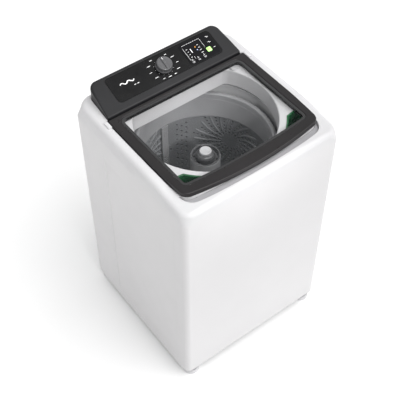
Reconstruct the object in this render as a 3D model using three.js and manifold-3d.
// Top-loading washing machine: white steel cabinet, dark sloping console, glazed lid, and a hanging
// tub with basket, agitator and belt drive. Millimetres, +Z up, front towards -Y, origin on the
// floor under the middle of the cabinet.
import * as THREE from 'three';
import { mergeVertices } from 'three/addons/utils/BufferGeometryUtils.js';
import Module from 'manifold-3d';

const wasm = await Module();
wasm.setup();

// ---------- driving dimensions ----------
const GAP = 0.3; // between pieces that touch

const cabinet = {
  width: 620, depth: 608, bottomZ: 30, seamZ: 905, cornerRadius: 24, sheet: 2, returnWidth: 24,
};
const rearPanel = { halfWidth: 303, y: 286, thickness: 2, bottomZ: 34, topZ: 899 };
const base = {
  bottomZ: 32, topZ: 60, width: 606, depth: 594, openingWidth: 520, openingDepth: 508, sheet: 2,
};
const foot = { centre: 272, padRadius: 32, padHeight: 18, stemRadius: 6, stemTopZ: 74 };

const cover = {
  wall: 4, shoulderZ: 966, shoulderRadius: 18, deckZ: 953, frontRimZ: 948, frontRimY: -284,
  slopeStartY: -110, openingBottomZ: 885,
};
const opening = { radius: 236.5, rearY: 142, cornerRadius: 30, wall: 4 };
const fingerChannel = { halfWidth: 268, frontY: -281, rearY: -256, floorZ: 934, wall: 3 };
const serviceOpening = { halfWidth: 235, frontY: 176, rearY: 276 }; // through the deck, under the console
const fillSpout = { x0: 203, x1: 238, y0: 114, y1: 141, radius: 8 };
const bumper = { x: 262, y: -128, radius: 5 };
const lock = {
  x0: 247, x1: 271, y0: -60, y1: 0, bottomZ: 922, boltX0: 252, boltX1: 266, boltY: -75, boltBottomZ: 928,
  boltTopZ: 940,
};

const lid = {
  bottomZ: 956, topZ: 974, rearY: 150, rearHalfWidth: 275, frontHalfWidth: 269, shoulderY: -100,
  cornerY: -214, cornerPointY: -244.5, frontCornerX: 238, frontCornerY: -250, bowY: -262, frontY: -271,
  bevel: 3, clearance: 2.5,
};
const lidWindow = { halfWidth: 239, rearY: 130, sideFrontY: -200, frontY: -222, bow: 10, cornerRadius: 14 };
const glass = { overlap: 7, bottomZ: 968, topZ: 972 };
const hinge = { y: 144, z: 964, pinRadius: 4, boreRadius: 4.5, lidBoreX: 262, blockX: 277, blockEndX: 291 };
const hingeBlock = { frontY: 122, rearY: 154, topZ: 972 };

const consoleBox = {
  frontY: 158, frontZ: 976, rearY: 293, rearZ: 1020, frontHalfWidth: 270, rearHalfWidth: 261,
  rearCornerRadius: 30, wall: 4, bottomZ: 953 + GAP,
};
const fascia = { left: -206, right: 218, front: 27, rear: 127, radius: 14, recess: 2, sink: 0.3 };
const display = { left: 86, right: 210, front: 31, rear: 122, radius: 11, proud: 0.4 };
const startKey = { x: 178, s: 59, width: 17, length: 17, radius: 3, top: 1.6 };
const optionKey = { x: [101, 125, 149], s: 40, width: 15, length: 8, radius: 3, top: 1 };
const keyStem = { bottom: -6, clearance: 0.5 };
const knob = {
  x: 0, s: 76, radius: 29.5, topRadius: 27, base: 1, shoulder: 16, gripTop: 22, gripWidth: 11,
};
const selector = { size: 36, height: 14, top: -6, shaftRadius: 3, shaftTop: 12.5, hole: 7 };

const cup = {
  outerX: 252, rearY: -156, frontY: -241, innerX: 150, arcRadius: 264, bottomZ: 895, wall: 2.5,
};

const tub = {
  radius: 266, wall: 4, floorZ: 264, dishRadius: 240, dishRise: 4, cornerRise: 26, rimZ: 862,
  boreRadius: 30,
};
const tubRing = { innerRadius: 247, outerRadius: 271, topZ: 868, skirtZ: 848 };
const lug = { centre: 232, reach: 345, width: 44, bottomZ: 330, topZ: 346, hole: 9 };
const rod = { radius: 4, cupRadius: 18, cupBottomZ: 236, cupTopZ: 246, ballRadius: 11, ballTopZ: 884 };
const gusset = { leg: 130, farCorner: 106, nearCorner: 65, bottomZ: 862, topZ: 866, hole: 6 };

const basket = {
  outerRadius: 236, wall: 4, floorZ: 296 + GAP, floorRadius: 214, cornerRise: 20, seamZ: 322,
  topZ: 730 - GAP, boreRadius: 14,
};
const balanceRing = { innerRadius: 225, outerRadius: 243, bottomZ: 730, topZ: 838, chamfer: 5 };
const hub = { radius: 120, flatRadius: 60, rim: 6, boreRadius: 11.6, bottomZ: 282 + GAP, topZ: 296 };
const basketShaft = { innerRadius: 12, outerRadius: 17, bottomZ: 166, topZ: 282 };
const lintFilter = { angle: 93, outerRadius: 229, thickness: 8, width: 28, bottomZ: 330, topZ: 729 };

const agitator = {
  skirtRadius: 150, bottomZ: 303, edgeZ: 311, slopeRadius: 100, slopeZ: 332, flareRadius: 66, flareZ: 366,
  neckRadius: 54, neckZ: 420, topZ: 430, wall: 3.2, splineRadius: 18, webRadius: 72, webZ: 352,
  webThickness: 6,
};
const post = { innerRadius: 48.8, outerRadius: 52, bottomZ: agitator.topZ + GAP, topZ: 765 };
const fin = {
  count: 4, width: 6, footRadius: 136, footZ: 314, footHeight: 6, shoulderRadius: 108, shoulderZ: 352,
  tipRadius: 74, tipZ: 425,
};
const agitatorShaft = { radius: 11, bottomZ: 166, topZ: 356 };
const dispenser = {
  radius: 48.2, bottomZ: 740, rimZ: 762, lip: 3, moatRadius: 34, moatZ: 752, domeZ: 779, domeTop: 22,
};
const agitatorCap = { radius: 21, topZ: 790, chamfer: 3 };

const gearcase = {
  radius: 78, chamfer: 12, flangeRadius: 92, flange: 8, bottomZ: 150, topZ: 259.4, boreRadius: 17.7,
};
const upperBearing = { innerRadius: 17.3, outerRadius: 34, bottomZ: 236.3, topZ: 250 };
const lowerBearing = { innerRadius: 10.4, outerRadius: 30, bottomZ: 150.3, topZ: 162 };
const seal = { innerRadius: 17.4, outerRadius: 29.6, bottomZ: 264, topZ: 276 };
const bracket = {
  bottomZ: 259.7, topZ: 263.7, discRadius: 100, motorPadRadius: 70, armWidth: 90, boreRadius: 36,
};
const motor = { x: 0, y: -178, radius: 60, chamfer: 14, bottomZ: 130, topZ: 259.4, shaftRadius: 6 };
const pulley = { bottomZ: 102, topZ: 122, driveRadius: 70, motorRadius: 15, flange: 7, spindleRadius: 10 };
const belt = { bottomZ: 107, topZ: 117, thickness: 5, clearance: 0.8 };
const drainPump = {
  x: 150, y: 110, radius: 32, coilRadius: 22, bottomZ: 190, coilTopZ: 238, topZ: 266,
  spoutRadius: 10, spoutLength: 55,
};

// Fittings through the rear panel.
const waterInlet = {
  x: 140, z: 820, radius: 13, reachY: 303, bodyHalf: 20, bodyY: 262, coilRadius: 14, coilBottomZ: 770,
};
const gland = { x: -200, z: 820, radius: 9, frontY: 276, reachY: 298, collar: 4 };
const drain = { x: -200, z: 150, radius: 16, frontY: 262, reachY: 303, collar: 6, collarY: 276 };

// Parts inside the console and the cabinet.
const pressure = { x: -150, y: 232, radius: 24, bottomZ: 947, topZ: 976, portRadius: 5, portBottomZ: 933 };
const board = { x0: 70, x1: 230, s0: 22, s1: 118, bottom: -12, top: -10.4 };
const relay = { x0: 90, x1: 115, s0: 70, s1: 100, bottom: -24 };
const transformer = { x0: 140, x1: 180, s0: 70, s1: 108, bottom: -28 };
const startCapacitor = { x: -120, y: 271, radius: 13, topZ: 130 };

const ringSegments = 32; // rings that show
const innerSegments = 24; // rings hidden inside the cabinet
const smallSegments = 12;

// ---------- finishes ----------
const finish = {
  whiteSteel: material(0xe9e9e9, 0.35, 0.1),
  whitePlastic: material(0xececec, 0.4, 0),
  darkPlastic: material(0x3d3d3e, 0.45, 0),
  glossBlack: material(0x141416, 0.12, 0),
  greyPlastic: material(0xb9babb, 0.5, 0),
  basketPlastic: material(0x55565a, 0.5, 0),
  litGreen: material(0xa8e080, 0.3, 0),
  dispenserGreen: material(0x1f5a33, 0.25, 0),
  zincSteel: material(0xa5a7a8, 0.4, 0.9),
  shaftSteel: material(0xc4c6c8, 0.25, 1),
  castAluminium: material(0x9da0a2, 0.5, 0.9),
  rubber: material(0x222222, 0.9, 0),
  glass: material(0x6c7072, 0.05, 0),
};

function material(color, roughness, metalness) {
  return new THREE.MeshStandardMaterial({ color, roughness, metalness });
}

// ---------- closed solids from three.js geometries ----------
function solidOf(geometry) {
  const bare = geometry.clone();
  bare.deleteAttribute('normal');
  bare.deleteAttribute('uv');
  const merged = mergeVertices(bare, 1e-4);
  const corners = merged.attributes.position;
  const triangles = [];
  const a = new THREE.Vector3();
  const b = new THREE.Vector3();
  const c = new THREE.Vector3();
  let volume = 0;
  for (let i = 0; i < merged.index.count; i += 3) {
    const [p, q, r] = [0, 1, 2].map((k) => merged.index.getX(i + k));
    if (p === q || q === r || p === r) continue;
    triangles.push([p, q, r]);
    a.fromBufferAttribute(corners, p);
    b.fromBufferAttribute(corners, q);
    c.fromBufferAttribute(corners, r);
    volume += a.dot(b.cross(c));
  }
  const outward = volume > 0 ? triangles : triangles.map(([p, q, r]) => [p, r, q]);
  return new wasm.Manifold(new wasm.Mesh({
    numProp: 3,
    vertProperties: Float32Array.from(corners.array),
    triVerts: Uint32Array.from(outward.flat()),
  }));
}

function geometryOf(solid) {
  const mesh = solid.getMesh();
  const geometry = new THREE.BufferGeometry();
  geometry.setAttribute('position', new THREE.BufferAttribute(Float32Array.from(mesh.vertProperties), 3));
  geometry.setIndex(new THREE.BufferAttribute(Uint32Array.from(mesh.triVerts), 1));
  geometry.computeVertexNormals();
  return geometry;
}

function piece(name, solid, look) {
  const mesh = new THREE.Mesh(geometryOf(solid), look);
  mesh.name = name;
  return mesh;
}

function join(first, ...others) {
  return others.reduce((sum, other) => sum.add(other), first);
}

function cut(first, ...tools) {
  return tools.reduce((rest, tool) => rest.subtract(tool), first);
}

function moved(solid, matrix) {
  return solidOf(geometryOf(solid).applyMatrix4(matrix));
}

function turnedAboutUp(solid, degrees) {
  return moved(solid, new THREE.Matrix4().makeRotationZ(THREE.MathUtils.degToRad(degrees)));
}

// Calls the function once for each of the four corners with the signs of its X and Y.
function atCorners(make) {
  return [-1, 1].flatMap((signX) => [-1, 1].map((signY) => make(signX, signY)));
}

function block(x0, x1, y0, y1, z0, z1) {
  const geometry = new THREE.BoxGeometry(x1 - x0, y1 - y0, z1 - z0);
  geometry.translate((x0 + x1) / 2, (y0 + y1) / 2, (z0 + z1) / 2);
  return solidOf(geometry);
}

function disc(x, y, radius, z0, z1, segments = smallSegments) {
  const geometry = new THREE.CylinderGeometry(radius, radius, z1 - z0, segments);
  geometry.rotateX(Math.PI / 2);
  geometry.translate(x, y, (z0 + z1) / 2);
  return solidOf(geometry);
}

function barAlongX(x0, x1, y, z, radius) {
  const geometry = new THREE.CylinderGeometry(radius, radius, Math.abs(x1 - x0), smallSegments);
  geometry.rotateZ(Math.PI / 2);
  geometry.translate((x0 + x1) / 2, y, z);
  return solidOf(geometry);
}

function barAlongY(x, y0, y1, z, radius) {
  const geometry = new THREE.CylinderGeometry(radius, radius, y1 - y0, smallSegments);
  geometry.translate(x, (y0 + y1) / 2, z);
  return solidOf(geometry);
}

// A profile of [radius, height] corners turned about the upright line through x, y. A profile off
// the axis is closed on itself.
function turned(profile, segments = ringSegments, x = 0, y = 0) {
  const points = profile.map(([radius, z]) => new THREE.Vector2(radius, z));
  const touchesAxis = profile.some(([radius]) => radius === 0);
  if (!touchesAxis) points.push(points[0].clone());
  const geometry = new THREE.LatheGeometry(points, segments);
  geometry.rotateX(Math.PI / 2);
  geometry.translate(x, y, 0);
  return solidOf(geometry);
}

function tube(innerRadius, outerRadius, z0, z1, segments = ringSegments) {
  return turned([[innerRadius, z0], [outerRadius, z0], [outerRadius, z1], [innerRadius, z1]], segments);
}

function upright(shape, z0, z1) {
  const settings = { depth: z1 - z0, bevelEnabled: false, curveSegments: 5 };
  const geometry = new THREE.ExtrudeGeometry(shape, settings);
  geometry.translate(0, 0, z0);
  return solidOf(geometry);
}

// A shape drawn in Y and Z, swept along X.
function acrossX(shape, x0, x1) {
  const settings = { depth: x1 - x0, bevelEnabled: false, curveSegments: 4 };
  const geometry = new THREE.ExtrudeGeometry(shape, settings);
  geometry.applyMatrix4(new THREE.Matrix4().makeBasis(
    new THREE.Vector3(0, 1, 0), new THREE.Vector3(0, 0, 1), new THREE.Vector3(1, 0, 0)));
  geometry.translate(x0, 0, 0);
  return solidOf(geometry);
}

function arc(x, y, radius, from, to, steps = 3) {
  return Array.from({ length: steps + 1 }, (_, index) => {
    const angle = from + ((to - from) * index) / steps;
    return new THREE.Vector2(x + radius * Math.cos(angle), y + radius * Math.sin(angle));
  });
}

function roundedRectangle(x0, x1, y0, y1, radius, steps = 3) {
  const quarter = Math.PI / 2;
  return new THREE.Shape([
    ...arc(x1 - radius, y0 + radius, radius, -quarter, 0, steps),
    ...arc(x1 - radius, y1 - radius, radius, 0, quarter, steps),
    ...arc(x0 + radius, y1 - radius, radius, quarter, 2 * quarter, steps),
    ...arc(x0 + radius, y0 + radius, radius, 2 * quarter, 3 * quarter, steps),
  ]);
}

function cabinetOutline(inset) {
  const halfWidth = cabinet.width / 2 - inset;
  const halfDepth = cabinet.depth / 2 - inset;
  return roundedRectangle(-halfWidth, halfWidth, -halfDepth, halfDepth, cabinet.cornerRadius - inset, 5);
}

// ---------- cabinet ----------
function cornerGusset(signX, signY) {
  const x = signX * (cabinet.width / 2 - 1);
  const y = signY * (cabinet.depth / 2 - 1);
  const corner = new THREE.Shape([
    new THREE.Vector2(x, y),
    new THREE.Vector2(x - signX * gusset.leg, y),
    new THREE.Vector2(x - signX * gusset.farCorner, y - signY * gusset.nearCorner),
    new THREE.Vector2(x - signX * gusset.nearCorner, y - signY * gusset.farCorner),
    new THREE.Vector2(x, y - signY * gusset.leg),
  ]);
  const plate = upright(corner, gusset.bottomZ, gusset.topZ);
  const inside = upright(cabinetOutline(1), gusset.bottomZ, gusset.topZ);
  const [below, above] = [gusset.bottomZ - 1, gusset.topZ + 1];
  const rodHole = disc(signX * lug.centre, signY * lug.centre, gusset.hole, below, above);
  const behindPanel = block(-cabinet.width, cabinet.width, rearPanel.y - GAP, cabinet.depth, below, above);
  return cut(plate.intersect(inside), rodHole, behindPanel);
}

function cabinetWrap() {
  const top = cabinet.seamZ - GAP;
  const halfDepth = cabinet.depth / 2;
  const rearOpening = cabinet.width / 2 - cabinet.returnWidth;
  const shell = cut(
    upright(cabinetOutline(0), cabinet.bottomZ, top),
    upright(cabinetOutline(cabinet.sheet), cabinet.bottomZ - 1, top + 1),
    block(-rearOpening, rearOpening, halfDepth - 10, halfDepth + 1, cabinet.bottomZ - 1, top + 1));
  return piece('cabinet_wrap', join(shell, ...atCorners(cornerGusset)), finish.whiteSteel);
}

function rearPanelPiece() {
  const back = rearPanel.y + rearPanel.thickness;
  const { halfWidth, y, bottomZ, topZ } = rearPanel;
  const plate = block(-halfWidth, halfWidth, y, back, bottomZ, topZ);
  const holes = [waterInlet, gland, drain].map(({ x, z, radius }) =>
    barAlongY(x, rearPanel.y - 1, back + 1, z, radius + 2 * GAP));
  return piece('rear_panel', cut(plate, ...holes), finish.zincSteel);
}

function baseFrame() {
  const outer = (inset) => roundedRectangle(
    -base.width / 2 + inset, base.width / 2 - inset, -base.depth / 2 + inset, base.depth / 2 - inset, 18);
  const inner = (inset) => roundedRectangle(
    -base.openingWidth / 2 + inset, base.openingWidth / 2 - inset,
    -base.openingDepth / 2 + inset, base.openingDepth / 2 - inset, 30);
  const ring = cut(
    upright(outer(0), base.bottomZ, base.topZ),
    upright(inner(0), base.bottomZ - 1, base.topZ + 1));
  const channel = cut(
    upright(outer(base.sheet), base.bottomZ - 1, base.topZ - base.sheet),
    upright(inner(-base.sheet), base.bottomZ - 2, base.topZ));
  const panelSlot = block(-rearPanel.halfWidth - GAP, rearPanel.halfWidth + GAP,
    rearPanel.y - GAP, base.depth / 2 + 1, base.bottomZ - 1, base.topZ + 1);
  const stemHoles = atCorners((signX, signY) =>
    disc(signX * foot.centre, signY * foot.centre, foot.stemRadius + 0.5, base.bottomZ, base.topZ + 1));
  return piece('base_frame', cut(ring, channel, panelSlot, ...stemHoles), finish.zincSteel);
}

function levellingFoot(name, signX, signY) {
  const profile = [
    [0, 0], [foot.padRadius - 2, 0], [foot.padRadius, 3], [foot.padRadius, foot.padHeight],
    [foot.stemRadius, foot.padHeight], [foot.stemRadius, foot.stemTopZ], [0, foot.stemTopZ],
  ];
  return piece(name, turned(profile, 16, signX * foot.centre, signY * foot.centre), finish.greyPlastic);
}

// ---------- top cover ----------
// The cover's side view: level at the sides, then dropping in a gentle curve to the front rim.
function coverSideView(inset) {
  const halfDepth = cabinet.depth / 2;
  const front = -halfDepth + inset;
  const rimRadius = cover.frontRimY + halfDepth;
  const shape = new THREE.Shape();
  shape.moveTo(front, cabinet.seamZ);
  shape.lineTo(front, cover.frontRimZ - rimRadius);
  shape.quadraticCurveTo(front, cover.frontRimZ - inset, cover.frontRimY, cover.frontRimZ - inset);
  shape.bezierCurveTo(cover.frontRimY + 70, cover.frontRimZ + 3 - inset, cover.slopeStartY - 70,
    cover.shoulderZ - inset, cover.slopeStartY, cover.shoulderZ - inset);
  shape.lineTo(halfDepth - inset, cover.shoulderZ - inset);
  shape.lineTo(halfDepth - inset, cabinet.seamZ);
  shape.closePath();
  return shape;
}

function coverBlank() {
  const radius = cover.shoulderRadius;
  const startZ = cabinet.seamZ - radius;
  const geometry = new THREE.ExtrudeGeometry(cabinetOutline(radius), {
    depth: cover.shoulderZ - radius - startZ, bevelEnabled: true, bevelSize: radius, bevelThickness: radius,
    bevelSegments: 3,
  });
  geometry.translate(0, 0, startZ);
  return solidOf(geometry).intersect(acrossX(coverSideView(0), -cabinet.width, cabinet.width));
}

// A circle cut off straight at the back, with rounded rear corners.
function openingOutline(grow) {
  const radius = opening.radius + grow;
  const corner = opening.cornerRadius + grow;
  const centreY = opening.rearY - opening.cornerRadius;
  const centreX = Math.sqrt((radius - corner) ** 2 - centreY ** 2);
  const turn = Math.atan2(centreY, centreX);
  return new THREE.Shape([
    ...arc(centreX, centreY, corner, Math.PI / 2, turn),
    ...arc(0, 0, radius, turn, -Math.PI - turn, 28).slice(1, -1),
    ...arc(-centreX, centreY, corner, Math.PI - turn, Math.PI / 2),
  ]);
}

// The lid's plan: slightly tapered sides and a front edge that bows outward.
function lidOutline(grow) {
  const rear = lid.rearHalfWidth + grow;
  const front = lid.frontHalfWidth + grow;
  const cornerX = lid.frontCornerX + grow;
  const cornerY = lid.frontCornerY - grow;
  const pointY = lid.cornerPointY - grow;
  const bowY = lid.bowY - grow;
  const frontY = lid.frontY - grow;
  const shape = new THREE.Shape();
  shape.moveTo(-rear, lid.rearY + grow);
  shape.lineTo(-rear, lid.shoulderY);
  shape.lineTo(-front, lid.cornerY);
  shape.quadraticCurveTo(-front, pointY, -cornerX, cornerY);
  shape.bezierCurveTo(-0.72 * cornerX, bowY, -0.38 * cornerX, frontY, 0, frontY);
  shape.bezierCurveTo(0.38 * cornerX, frontY, 0.72 * cornerX, bowY, cornerX, cornerY);
  shape.quadraticCurveTo(front, pointY, front, lid.cornerY);
  shape.lineTo(rear, lid.shoulderY);
  shape.lineTo(rear, lid.rearY + grow);
  shape.closePath();
  return shape;
}

function windowOutline(grow) {
  const halfWidth = lidWindow.halfWidth + grow;
  const rearY = lidWindow.rearY + grow;
  const frontY = lidWindow.frontY - grow;
  const cornerY = frontY + lidWindow.bow;
  const radius = lidWindow.cornerRadius;
  const shape = new THREE.Shape();
  shape.moveTo(-halfWidth + radius, rearY);
  shape.quadraticCurveTo(-halfWidth, rearY, -halfWidth, rearY - radius);
  shape.lineTo(-halfWidth, lidWindow.sideFrontY);
  shape.quadraticCurveTo(-halfWidth, cornerY + 2, -halfWidth + radius, cornerY);
  shape.quadraticCurveTo(-0.5 * halfWidth, frontY, 0, frontY);
  shape.quadraticCurveTo(0.5 * halfWidth, frontY, halfWidth - radius, cornerY);
  shape.quadraticCurveTo(halfWidth, cornerY + 2, halfWidth, lidWindow.sideFrontY);
  shape.lineTo(halfWidth, rearY - radius);
  shape.quadraticCurveTo(halfWidth, rearY, halfWidth - radius, rearY);
  shape.closePath();
  return shape;
}

// The corner left between the round opening and the square front of the cover.
function cupOutline(sign, grow) {
  const outerX = cup.outerX + grow;
  const rearY = cup.rearY + grow;
  const frontY = cup.frontY - grow;
  const radius = cup.arcRadius - grow;
  const rearX = Math.sqrt(radius ** 2 - rearY ** 2);
  const arcFrontX = cup.innerX - grow;
  const arcFrontY = -Math.sqrt(radius ** 2 - arcFrontX ** 2);
  const shape = new THREE.Shape();
  shape.moveTo(sign * outerX, rearY);
  shape.lineTo(sign * rearX, rearY);
  for (const share of [0.25, 0.5, 0.75]) {
    const angle = THREE.MathUtils.lerp(Math.atan2(rearY, rearX), Math.atan2(arcFrontY, arcFrontX), share);
    shape.lineTo(sign * radius * Math.cos(angle), radius * Math.sin(angle));
  }
  shape.lineTo(sign * arcFrontX, arcFrontY);
  shape.lineTo(sign * arcFrontX, frontY);
  shape.lineTo(sign * outerX, frontY);
  shape.closePath();
  return shape;
}

function consoleOutline(inset) {
  const front = consoleBox.frontHalfWidth - inset;
  const rear = consoleBox.rearHalfWidth - inset;
  const radius = consoleBox.rearCornerRadius - inset;
  const rearY = consoleBox.rearY - inset;
  return new THREE.Shape([
    new THREE.Vector2(-front, consoleBox.frontY + inset),
    new THREE.Vector2(front, consoleBox.frontY + inset),
    ...arc(rear - radius, rearY - radius, radius, 0, Math.PI / 2, 4),
    ...arc(-rear + radius, rearY - radius, radius, Math.PI / 2, Math.PI, 4),
  ]);
}

function topCover() {
  const above = cover.shoulderZ + 20;
  const underside = upright(cabinetOutline(cover.wall), cabinet.seamZ - 1, cover.deckZ - cover.wall)
    .intersect(acrossX(coverSideView(cover.wall), -cabinet.width, cabinet.width));
  const trim = fingerChannel.wall;
  const channelTray = block(-fingerChannel.halfWidth - trim, fingerChannel.halfWidth + trim,
    fingerChannel.frontY - trim, fingerChannel.rearY + trim, fingerChannel.floorZ - trim, cover.deckZ - 1);
  const openingWall = upright(openingOutline(opening.wall), cover.openingBottomZ, cover.deckZ);
  const hingeBlocks = [-1, 1].map((sign) => {
    const [left, right] = [sign * hinge.blockX, sign * hinge.blockEndX].sort((a, b) => a - b);
    return block(left, right, hingeBlock.frontY, hingeBlock.rearY, cover.deckZ - 2, hingeBlock.topZ);
  });
  const shell = cut(coverBlank(), underside);
  const body = join(shell, channelTray.intersect(coverBlank()), openingWall, ...hingeBlocks);
  const lidRecess = cut(upright(lidOutline(lid.clearance), cover.deckZ, above),
    block(-cabinet.width, -hinge.blockX, hingeBlock.frontY, hingeBlock.rearY, cover.deckZ, above),
    block(hinge.blockX, cabinet.width, hingeBlock.frontY, hingeBlock.rearY, cover.deckZ, above));
  const cupHoles = [-1, 1].map((sign) => upright(cupOutline(sign, 0.5), cover.deckZ - 15, above));
  const pinHoles = [-1, 1].map((sign) =>
    barAlongX(sign * (hinge.blockX - 1), sign * hinge.blockEndX, hinge.y, hinge.z, hinge.boreRadius));
  const openings = [
    upright(openingOutline(0), cover.openingBottomZ - 1, above),
    upright(consoleOutline(-1.5), cover.deckZ, above),
    block(-hinge.blockX, hinge.blockX, lid.rearY, consoleBox.frontY, cover.deckZ, above),
    block(-fingerChannel.halfWidth, fingerChannel.halfWidth, fingerChannel.frontY, fingerChannel.rearY,
      fingerChannel.floorZ, above),
    block(-serviceOpening.halfWidth, serviceOpening.halfWidth, serviceOpening.frontY, serviceOpening.rearY,
      cover.deckZ - 2 * cover.wall, above),
  ];
  const shape = cut(body, lidRecess, ...cupHoles, ...pinHoles, ...openings);
  return piece('top_cover', shape, finish.whitePlastic);
}

function dispenserCup(name, sign) {
  const flange = upright(cupOutline(sign, 3), cover.deckZ + GAP, cover.deckZ + 2.3);
  const walls = upright(cupOutline(sign, 0), cup.bottomZ, cover.deckZ + 1);
  const hollow = upright(cupOutline(sign, -cup.wall), cup.bottomZ + cup.wall, cover.deckZ + 5);
  return piece(name, cut(join(walls, flange), hollow), finish.dispenserGreen);
}

function waterFillSpout() {
  const { x0, x1, y0, y1, radius } = fillSpout;
  const tab = upright(roundedRectangle(x0, x1, y0, y1, radius), cover.deckZ + GAP, lid.bottomZ - GAP);
  return piece('water_fill_spout', tab, finish.darkPlastic);
}

function lidBumper(name, sign) {
  const pad = disc(sign * bumper.x, bumper.y, bumper.radius, cover.deckZ + GAP, lid.bottomZ - GAP);
  return piece(name, pad, finish.rubber);
}

function lidLock() {
  const body = block(lock.x0, lock.x1, lock.y0, lock.y1, lock.bottomZ, cover.deckZ - cover.wall - GAP);
  const bolt = block(lock.boltX0, lock.boltX1, lock.boltY, lock.y0 + 1, lock.boltBottomZ, lock.boltTopZ);
  return piece('lid_lock', join(body, bolt), finish.darkPlastic);
}

// ---------- lid ----------
function lidFrame() {
  const geometry = new THREE.ExtrudeGeometry(lidOutline(-lid.bevel), {
    depth: lid.topZ - lid.bottomZ - 2 * lid.bevel, bevelEnabled: true, bevelSize: lid.bevel,
    bevelThickness: lid.bevel, bevelSegments: 1, curveSegments: 6,
  });
  geometry.translate(0, 0, lid.bottomZ + lid.bevel);
  const blank = solidOf(geometry);
  const sightHole = upright(windowOutline(0), lid.bottomZ - 1, lid.topZ + 1);
  const rebate = upright(windowOutline(glass.overlap + GAP), glass.bottomZ - GAP, lid.topZ + 1);
  const bores = [-1, 1].map((sign) =>
    barAlongX(sign * hinge.lidBoreX, sign * hinge.blockX, hinge.y, hinge.z, hinge.boreRadius));
  return piece('lid_frame', cut(blank, sightHole, rebate, ...bores), finish.darkPlastic);
}

function lidGlass() {
  return piece('lid_glass', upright(windowOutline(glass.overlap), glass.bottomZ, glass.topZ), finish.glass);
}

function hingePin(name, sign) {
  const { y, z, pinRadius, lidBoreX, blockEndX } = hinge;
  const pin = barAlongX(sign * (lidBoreX + 1), sign * (blockEndX - 1), y, z, pinRadius);
  return piece(name, pin, finish.shaftSteel);
}

// ---------- console ----------
// Everything on the sloping face is drawn flat, x across and s up the slope from the front edge,
// then turned into place as one group. Height above the face is n.
const slope = Math.atan2(consoleBox.rearZ - consoleBox.frontZ, consoleBox.rearY - consoleBox.frontY);

function onSlope(solid) {
  const tilt = new THREE.Matrix4().makeRotationX(slope);
  return moved(solid, tilt.setPosition(0, consoleBox.frontY, consoleBox.frontZ));
}

function consoleSideView(inset) {
  const { frontY, frontZ, rearY, rearZ, bottomZ } = consoleBox;
  const drop = inset / Math.cos(slope);
  const shape = new THREE.Shape();
  shape.moveTo(frontY + inset, bottomZ);
  shape.lineTo(frontY + inset, frontZ - drop - 2);
  shape.lineTo(frontY + inset + 2, frontZ - drop + 0.6);
  shape.lineTo(rearY - inset - 9, rearZ - drop - 2.8);
  shape.quadraticCurveTo(rearY - inset, rearZ - drop, rearY - inset, rearZ - drop - 9);
  shape.lineTo(rearY - inset, bottomZ);
  shape.closePath();
  return shape;
}

function keyHole(key, x) {
  const grow = keyStem.clearance;
  return upright(roundedRectangle(x - key.width / 2 - grow, x + key.width / 2 + grow,
    key.s - key.length / 2 - grow, key.s + key.length / 2 + grow, key.radius + grow, 2), -10, 5);
}

function allKeyHoles() {
  return [keyHole(startKey, startKey.x), ...optionKey.x.map((x) => keyHole(optionKey, x))];
}

function consoleHousing() {
  const outer = acrossX(consoleSideView(0), -cabinet.width, cabinet.width)
    .intersect(upright(consoleOutline(0), consoleBox.bottomZ, consoleBox.rearZ + 5));
  const inner = acrossX(consoleSideView(consoleBox.wall), -cabinet.width, cabinet.width)
    .intersect(upright(consoleOutline(consoleBox.wall), consoleBox.bottomZ - 1, consoleBox.rearZ + 5));
  const openBottom = upright(
    consoleOutline(consoleBox.wall), consoleBox.bottomZ - 1, consoleBox.bottomZ + 2);
  const pocket = upright(roundedRectangle(fascia.left - GAP, fascia.right + GAP, fascia.front - GAP,
    fascia.rear + GAP, fascia.radius + GAP), -fascia.recess, 10);
  const shaftHole = disc(knob.x, knob.s, selector.hole, -12, 5);
  const cutters = [pocket, shaftHole, ...allKeyHoles()].map(onSlope);
  return piece('console_housing', cut(outer, inner, openBottom, ...cutters), finish.darkPlastic);
}

function consoleFascia() {
  const outline = roundedRectangle(fascia.left, fascia.right, fascia.front, fascia.rear, fascia.radius);
  const plate = upright(outline, -fascia.recess + GAP, -fascia.sink);
  const windowHole = upright(roundedRectangle(display.left - GAP, display.right + GAP, display.front - GAP,
    display.rear + GAP, display.radius + GAP), -5, 5);
  const shaftHole = disc(knob.x, knob.s, selector.hole, -5, 5);
  return piece('console_fascia', cut(plate, windowHole, shaftHole), finish.glossBlack);
}

function displayWindow() {
  const { left, right, front, rear, radius, proud } = display;
  const plate = upright(roundedRectangle(left, right, front, rear, radius), -fascia.recess + GAP, proud);
  return piece('display_window', cut(plate, ...allKeyHoles()), finish.glossBlack);
}

function pushKey(name, key, x, look) {
  const outline = roundedRectangle(x - key.width / 2, x + key.width / 2,
    key.s - key.length / 2, key.s + key.length / 2, key.radius, 2);
  return piece(name, upright(outline, keyStem.bottom, key.top), look);
}

function selectorKnob() {
  const body = turned([
    [0, knob.base], [knob.radius, knob.base], [knob.radius, knob.base + 3],
    [knob.topRadius, knob.shoulder - 2], [knob.topRadius - 2, knob.shoulder], [0, knob.shoulder],
  ], 28, knob.x, knob.s);
  const reach = knob.topRadius - 3;
  const half = knob.gripWidth / 2;
  const gripOutline = roundedRectangle(-half, half, knob.s - reach, knob.s + reach, half - 0.5, 2);
  const grip = upright(gripOutline, knob.shoulder - 2, knob.gripTop);
  const bore = disc(knob.x, knob.s, selector.shaftRadius + 0.5, 0, selector.shaftTop + 0.5);
  return piece('selector_knob', cut(join(body, grip), bore), finish.darkPlastic);
}

function selectorSwitch() {
  const half = selector.size / 2;
  const body = block(knob.x - half, knob.x + half, knob.s - half, knob.s + half,
    selector.top - selector.height, selector.top);
  const shaft = disc(knob.x, knob.s, selector.shaftRadius, selector.top - 1, selector.shaftTop);
  return piece('selector_switch', join(body, shaft), finish.greyPlastic);
}

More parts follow.
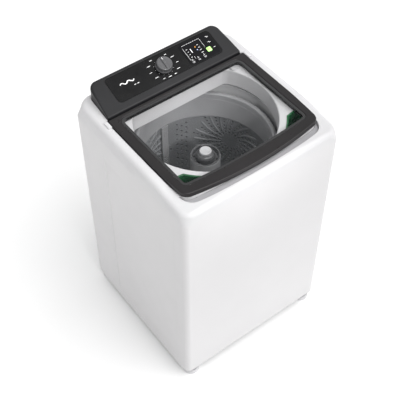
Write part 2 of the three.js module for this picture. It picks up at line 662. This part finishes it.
function controlBoard() {
  const plate = block(board.x0, board.x1, board.s0, board.s1, board.bottom, board.top);
  const parts = [relay, transformer].map(({ x0, x1, s0, s1, bottom }) =>
    block(x0, x1, s0, s1, bottom, board.bottom + 0.1));
  return piece('control_board', join(plate, ...parts), finish.dispenserGreen);
}

function consoleFace() {
  const face = new THREE.Group();
  face.position.set(0, consoleBox.frontY, consoleBox.frontZ);
  face.rotation.x = slope;
  face.add(
    consoleFascia(), displayWindow(), selectorKnob(), selectorSwitch(), controlBoard(),
    pushKey('start_button', startKey, startKey.x, finish.litGreen));
  optionKey.x.forEach((x, index) => {
    face.add(pushKey(`option_key_${index + 1}`, optionKey, x, finish.greyPlastic));
  });
  return face;
}

function pressureSwitch() {
  const { x, y, radius, bottomZ, topZ, portRadius, portBottomZ } = pressure;
  const body = disc(x, y, radius, bottomZ, topZ);
  const hosePort = disc(x, y, portRadius, portBottomZ, bottomZ + 1);
  return piece('pressure_switch', join(body, hosePort), finish.whitePlastic);
}

// ---------- fittings on the back ----------
function waterInletValve() {
  const { x, z, radius, reachY, bodyHalf, bodyY, coilRadius, coilBottomZ } = waterInlet;
  const body = block(x - bodyHalf, x + bodyHalf, bodyY, rearPanel.y - GAP, z - bodyHalf, z + bodyHalf);
  const coil = disc(x, bodyY + 8, coilRadius, coilBottomZ, z - bodyHalf + 1);
  const threadedInlet = barAlongY(x, rearPanel.y - 4, reachY, z, radius);
  const waterWay = barAlongY(x, rearPanel.y, reachY + 1, z, radius - 4);
  return piece('water_inlet_valve', cut(join(body, coil, threadedInlet), waterWay), finish.greyPlastic);
}

function cordGland() {
  const { x, z, radius, frontY, reachY, collar: lip } = gland;
  const back = rearPanel.y + rearPanel.thickness;
  const sleeve = barAlongY(x, frontY, reachY, z, radius);
  const collar = barAlongY(x, back + GAP, back + lip, z, radius + lip);
  const cordHole = barAlongY(x, frontY - 1, reachY + 1, z, radius - 4);
  return piece('cord_gland', cut(join(sleeve, collar), cordHole), finish.rubber);
}

function drainOutlet() {
  const { x, z, radius, frontY, reachY, collar: lip, collarY } = drain;
  const spigot = barAlongY(x, frontY, reachY, z, radius);
  const collar = barAlongY(x, collarY, rearPanel.y - GAP, z, radius + lip);
  const bore = barAlongY(x, frontY - 1, reachY + 1, z, radius - 3);
  return piece('drain_outlet', cut(join(spigot, collar), bore), finish.greyPlastic);
}

function capacitor() {
  const { x, y, radius, topZ } = startCapacitor;
  return piece('capacitor', disc(x, y, radius, base.topZ + GAP, topZ), finish.whitePlastic);
}

// ---------- tub and its suspension ----------
function outerTub() {
  const { radius, wall, floorZ, dishRadius, dishRise, cornerRise, rimZ, boreRadius } = tub;
  const shell = turned([
    [boreRadius, floorZ], [dishRadius, floorZ + dishRise], [radius, floorZ + cornerRise], [radius, rimZ],
    [radius - wall, rimZ], [radius - wall, floorZ + cornerRise + 2],
    [dishRadius - 2, floorZ + dishRise + wall + 1], [boreRadius, floorZ + wall + 1],
  ], innerSegments);
  const arm = block(radius - wall + 1, lug.reach, -lug.width / 2, lug.width / 2, lug.bottomZ, lug.topZ);
  const arms = atCorners((signX, signY) =>
    turnedAboutUp(arm, THREE.MathUtils.radToDeg(Math.atan2(signY, signX))));
  const rodHoles = atCorners((signX, signY) =>
    disc(signX * lug.centre, signY * lug.centre, lug.hole, lug.bottomZ - 1, lug.topZ + 1));
  return piece('outer_tub', cut(join(shell, ...arms), ...rodHoles), finish.greyPlastic);
}

function tubRingPiece() {
  const rim = tub.rimZ + GAP;
  const skirt = tub.radius + GAP + 0.5;
  const profile = [
    [tubRing.innerRadius, rim], [tubRing.innerRadius, tubRing.topZ], [tubRing.outerRadius, tubRing.topZ],
    [tubRing.outerRadius, tubRing.skirtZ], [skirt, tubRing.skirtZ], [skirt, rim],
  ];
  return piece('tub_ring', turned(profile, innerSegments), finish.greyPlastic);
}

function suspensionRod(name, signX, signY) {
  const profile = [
    [0, rod.cupBottomZ], [rod.cupRadius, rod.cupBottomZ], [rod.cupRadius, rod.cupTopZ - GAP],
    [rod.radius, rod.cupTopZ - GAP], [rod.radius, gusset.topZ + GAP], [rod.ballRadius, gusset.topZ + GAP],
    [rod.ballRadius, rod.ballTopZ - 6], [rod.ballRadius - 5, rod.ballTopZ], [0, rod.ballTopZ],
  ];
  return piece(name, turned(profile, 10, signX * lug.centre, signY * lug.centre), finish.zincSteel);
}

// ---------- basket and agitator ----------
function basketBase() {
  const { outerRadius, wall, floorZ, floorRadius, cornerRise, seamZ, boreRadius } = basket;
  const profile = [
    [boreRadius, floorZ], [floorRadius, floorZ], [outerRadius, floorZ + cornerRise], [outerRadius, seamZ],
    [outerRadius - wall, seamZ], [outerRadius - wall, floorZ + cornerRise + 2],
    [floorRadius - 2, floorZ + wall], [boreRadius, floorZ + wall],
  ];
  return piece('basket_base', turned(profile), finish.basketPlastic);
}

function washBasket() {
  const { outerRadius, wall, seamZ, topZ } = basket;
  const shell = tube(outerRadius - wall, outerRadius, seamZ + GAP, topZ);
  return piece('wash_basket', shell, finish.basketPlastic);
}

function balanceRingPiece() {
  const { innerRadius, outerRadius, bottomZ, topZ, chamfer } = balanceRing;
  const profile = [
    [innerRadius, bottomZ], [outerRadius, bottomZ], [outerRadius, topZ - chamfer],
    [outerRadius - chamfer, topZ], [innerRadius, topZ],
  ];
  return piece('balance_ring', turned(profile), finish.greyPlastic);
}

function basketHub() {
  const profile = [
    [hub.boreRadius, hub.bottomZ], [hub.flatRadius, hub.bottomZ], [hub.radius, hub.topZ - hub.rim],
    [hub.radius, hub.topZ], [hub.boreRadius, hub.topZ],
  ];
  return piece('basket_hub', turned(profile, innerSegments), finish.castAluminium);
}

function lintFilterPiece() {
  const { angle, outerRadius, thickness, width, bottomZ, topZ } = lintFilter;
  const body = block(outerRadius - thickness, outerRadius, -width / 2, width / 2, bottomZ, topZ);
  return piece('lint_filter', turnedAboutUp(body, angle), finish.greyPlastic);
}

// The agitator shell's path from the skirt's edge up to its top, moved into the wall by a depth.
function agitatorPath(depth) {
  const { skirtRadius, edgeZ, slopeRadius, slopeZ, flareRadius, flareZ } = agitator;
  const { neckRadius, neckZ, topZ } = agitator;
  return [
    [skirtRadius - depth, edgeZ - depth], [slopeRadius - depth, slopeZ - depth],
    [flareRadius - depth, flareZ], [neckRadius - depth, neckZ], [neckRadius - depth, topZ],
  ];
}

// A fin's inner edge runs inside the shell's wall, so the two grow together.
function agitatorFin() {
  const outline = new THREE.Shape([
    [fin.footRadius, fin.footZ], ...agitatorPath(agitator.wall / 2).slice(1, 4),
    [agitator.neckRadius - agitator.wall / 2, fin.tipZ], [fin.tipRadius, fin.tipZ],
    [fin.shoulderRadius, fin.shoulderZ], [fin.footRadius, fin.footZ + fin.footHeight],
  ].map(([radius, z]) => new THREE.Vector2(radius, z)));
  return acrossX(outline, -fin.width / 2, fin.width / 2);
}

function agitatorPiece() {
  const { skirtRadius, bottomZ, wall, splineRadius, webRadius, webZ, webThickness } = agitator;
  const shell = turned([
    [skirtRadius - wall, bottomZ], [skirtRadius, bottomZ], ...agitatorPath(0),
    ...agitatorPath(wall).reverse(),
  ], innerSegments);
  const bore = agitatorShaft.radius + 0.4;
  const splineHub = tube(bore, splineRadius, bottomZ, webZ + webThickness, innerSegments);
  const web = tube(bore, webRadius, webZ, webZ + webThickness, innerSegments);
  const fins = Array.from({ length: fin.count }, (_, index) =>
    turnedAboutUp(agitatorFin(), (index * 360) / fin.count));
  return piece('agitator', join(shell, splineHub, web, ...fins), finish.greyPlastic);
}

function agitatorDispenser() {
  const { radius, bottomZ, rimZ, lip, moatRadius, moatZ, domeZ, domeTop } = dispenser;
  const profile = [
    [0, bottomZ], [radius, bottomZ], [radius, rimZ], [radius - lip, rimZ], [radius - lip - 2, moatZ],
    [moatRadius, moatZ], [moatRadius - 1, (moatZ + domeZ) / 2 + 4], [domeTop, domeZ], [0, domeZ],
  ];
  return piece('agitator_dispenser', turned(profile, innerSegments), finish.darkPlastic);
}

function agitatorCapPiece() {
  const bottomZ = dispenser.domeZ + GAP;
  const { radius, topZ, chamfer } = agitatorCap;
  const profile = [
    [0, bottomZ], [radius, bottomZ], [radius, topZ - chamfer], [radius - chamfer, topZ], [0, topZ],
  ];
  return piece('agitator_cap', turned(profile, innerSegments), finish.greyPlastic);
}

function agitatorShaftPiece() {
  const { radius, bottomZ, topZ } = agitatorShaft;
  return piece('agitator_shaft', disc(0, 0, radius, bottomZ, topZ), finish.shaftSteel);
}

// ---------- drive ----------
function gearcasePiece() {
  const { radius, chamfer, flangeRadius, flange, bottomZ, topZ, boreRadius } = gearcase;
  const lowerSeat = lowerBearing.outerRadius + GAP;
  const upperSeat = upperBearing.outerRadius + GAP;
  const profile = [
    [lowerSeat, bottomZ], [radius - chamfer, bottomZ], [radius, bottomZ + chamfer], [radius, topZ - flange],
    [flangeRadius, topZ - flange], [flangeRadius, topZ], [upperSeat, topZ],
    [upperSeat, upperBearing.bottomZ - GAP], [boreRadius, upperBearing.bottomZ - GAP],
    [boreRadius, lowerBearing.topZ + GAP], [lowerSeat, lowerBearing.topZ + GAP],
  ];
  return piece('gearcase', turned(profile, innerSegments), finish.castAluminium);
}

function motorBracket() {
  const { bottomZ, topZ, discRadius, motorPadRadius, armWidth, boreRadius } = bracket;
  const disk = disc(0, 0, discRadius, bottomZ, topZ, innerSegments);
  const arm = block(-armWidth / 2, armWidth / 2, motor.y, 0, bottomZ, topZ);
  const pad = disc(motor.x, motor.y, motorPadRadius, bottomZ, topZ, innerSegments);
  const bore = disc(0, 0, boreRadius, bottomZ - 1, topZ + 1, innerSegments);
  return piece('motor_bracket', cut(join(disk, arm, pad), bore), finish.zincSteel);
}

function motorPiece() {
  const { x, y, radius, chamfer, bottomZ, topZ } = motor;
  const profile = [
    [0, bottomZ], [radius - chamfer, bottomZ], [radius, bottomZ + chamfer], [radius, topZ - chamfer],
    [radius - chamfer, topZ], [0, topZ],
  ];
  return piece('motor', turned(profile, innerSegments, x, y), finish.castAluminium);
}

function grooveProfile(grooveRadius) {
  const { bottomZ, topZ, flange } = pulley;
  return [
    [0, bottomZ], [grooveRadius + flange, bottomZ], [grooveRadius + flange, belt.bottomZ - 1.5],
    [grooveRadius, belt.bottomZ - 0.6], [grooveRadius, belt.topZ + 0.6],
    [grooveRadius + flange, belt.topZ + 1.5], [grooveRadius + flange, topZ], [0, topZ],
  ];
}

function drivePulley() {
  const wheel = turned(grooveProfile(pulley.driveRadius), innerSegments);
  const spindle = disc(0, 0, pulley.spindleRadius, pulley.topZ - 1, lowerBearing.topZ);
  return piece('drive_pulley', join(wheel, spindle), finish.castAluminium);
}

function motorPulley() {
  const wheel = turned(grooveProfile(pulley.motorRadius), smallSegments, motor.x, motor.y);
  const shaft = disc(motor.x, motor.y, motor.shaftRadius, pulley.topZ - 1, motor.bottomZ - GAP);
  return piece('motor_pulley', join(wheel, shaft), finish.shaftSteel);
}

// The loop round both pulleys: two arcs and their two outer tangents.
function beltOutline(grow) {
  const large = pulley.driveRadius + belt.clearance + grow;
  const small = pulley.motorRadius + belt.clearance + grow;
  const lean = Math.asin((large - small) / Math.abs(motor.y));
  return new THREE.Shape([
    ...arc(0, 0, large, -lean, Math.PI + lean, 18),
    ...arc(motor.x, motor.y, small, Math.PI + lean, 2 * Math.PI - lean, 8),
  ]);
}

function driveBelt() {
  const outer = upright(beltOutline(belt.thickness), belt.bottomZ, belt.topZ);
  const inner = upright(beltOutline(0), belt.bottomZ - 1, belt.topZ + 1);
  return piece('drive_belt', cut(outer, inner), finish.rubber);
}

function drainPumpPiece() {
  const { x, y, radius, coilRadius, bottomZ, coilTopZ, topZ, spoutRadius, spoutLength } = drainPump;
  const volute = disc(x, y, radius, coilTopZ - 1, topZ);
  const coil = disc(x, y, coilRadius, bottomZ, coilTopZ);
  const spout = barAlongY(x, y, y + spoutLength, (coilTopZ + topZ) / 2, spoutRadius);
  return piece('drain_pump', join(volute, coil, spout), finish.greyPlastic);
}

function sleeve(name, { innerRadius, outerRadius, bottomZ, topZ }, look) {
  return piece(name, tube(innerRadius, outerRadius, bottomZ, topZ, innerSegments), look);
}

// ---------- assembly ----------
const machine = new THREE.Group();

machine.add(cabinetWrap(), rearPanelPiece(), baseFrame());
for (const [side, signX] of [['left', -1], ['right', 1]]) {
  for (const [end, signY] of [['front', -1], ['rear', 1]]) {
    machine.add(levellingFoot(`foot_${end}_${side}`, signX, signY));
    machine.add(suspensionRod(`suspension_rod_${end}_${side}`, signX, signY));
  }
  machine.add(hingePin(`hinge_pin_${side}`, signX), lidBumper(`lid_bumper_${side}`, signX));
}
machine.add(topCover(), dispenserCup('detergent_cup', -1), dispenserCup('softener_cup', 1));
machine.add(waterFillSpout(), lidLock(), lidFrame(), lidGlass());
machine.add(consoleHousing(), consoleFace(), pressureSwitch());
machine.add(waterInletValve(), cordGland(), drainOutlet(), capacitor());
machine.add(outerTub(), tubRingPiece(), sleeve('tub_seal', seal, finish.rubber));
machine.add(sleeve('upper_bearing', upperBearing, finish.shaftSteel));
machine.add(sleeve('lower_bearing', lowerBearing, finish.shaftSteel));
machine.add(sleeve('basket_shaft', basketShaft, finish.shaftSteel));
machine.add(basketBase(), washBasket(), balanceRingPiece(), basketHub(), lintFilterPiece());
machine.add(agitatorPiece(), sleeve('agitator_post', post, finish.greyPlastic));
machine.add(agitatorShaftPiece(), agitatorDispenser(), agitatorCapPiece());
machine.add(gearcasePiece(), motorBracket(), motorPiece());
machine.add(drivePulley(), motorPulley(), driveBelt(), drainPumpPiece());

export default machine;
